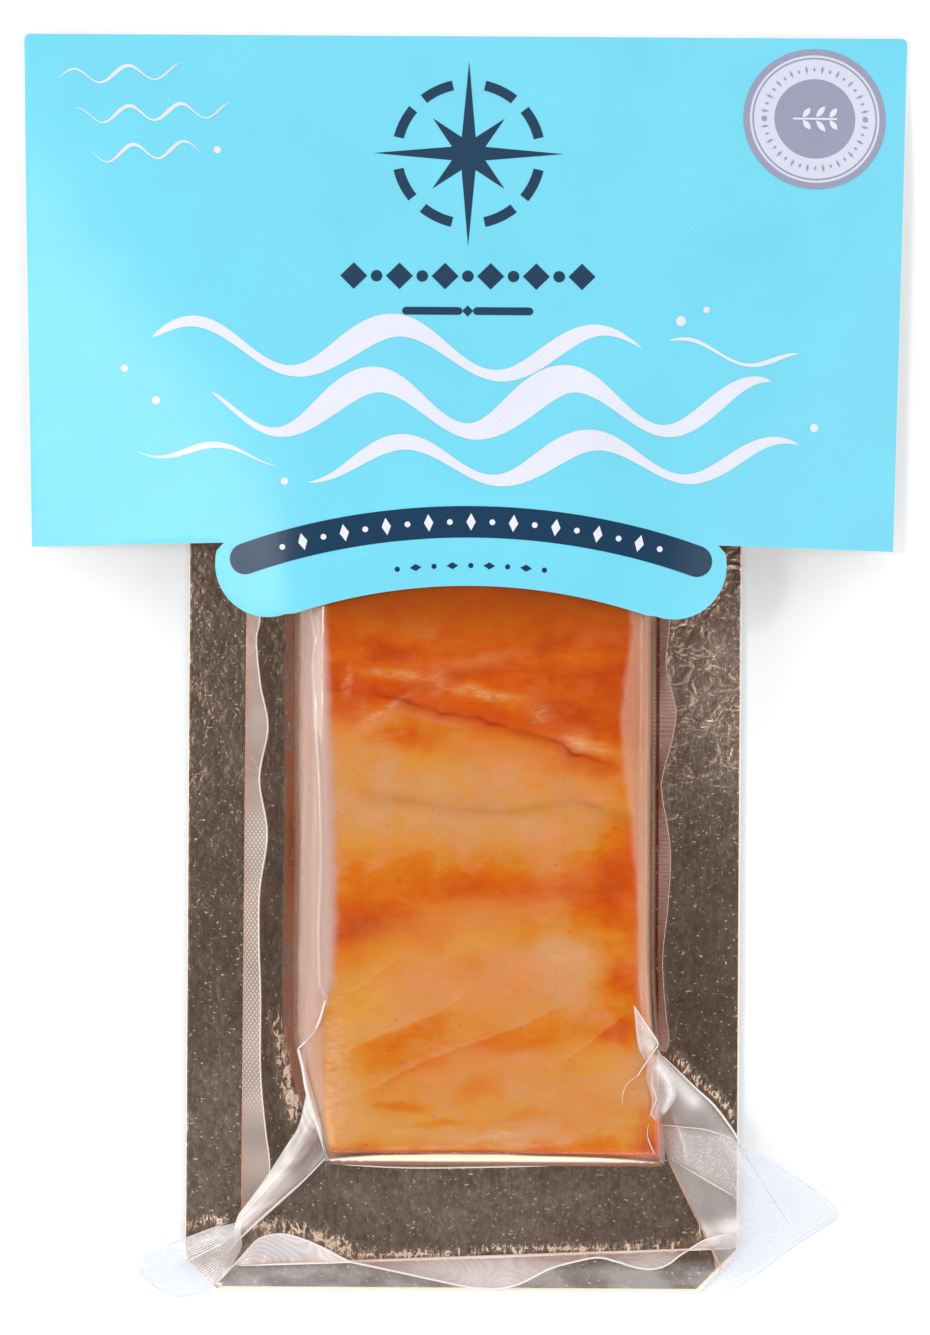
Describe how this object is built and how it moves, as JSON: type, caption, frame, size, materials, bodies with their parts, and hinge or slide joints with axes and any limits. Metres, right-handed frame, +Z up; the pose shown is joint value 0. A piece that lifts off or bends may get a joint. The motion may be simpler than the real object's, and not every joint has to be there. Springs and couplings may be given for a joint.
{
  "type": "cold smoked butterfish pack",
  "caption": "Block of cold smoked butterfish fillet, vacuum sealed in a clear pouch on a foil-faced board, under a folded card header with a rounded tongue.",
  "frame": {"origin": "middle of the footprint's bounding box, at the height of the surface that the pack lies on", "axes": "+Y towards the header's fold, +X to the right as the shown side is seen, +Z up, out of the shown side"},
  "size_m": [0.1918, 0.2748, 0.0234],
  "materials": {
    "card": "laminated card printed light turquoise, soft gloss",
    "card_inside": "plain matt white card",
    "navy_print": "navy ink under the same laminate",
    "white_print": "white ink under the same laminate",
    "grey_print": "cool grey ink under the same laminate",
    "foil_board": "bronze metallised foil on board, finely embossed",
    "clear_film": "clear glossy vacuum film, frosted along the seams",
    "fillet": "moist smoked fillet, orange and pale bands"
  },
  "bodies": {
    "root": {"header_card": "card", "backing_board": "foil_board", "sealed_bag": "clear_film"}
  },
  "joints": []
}
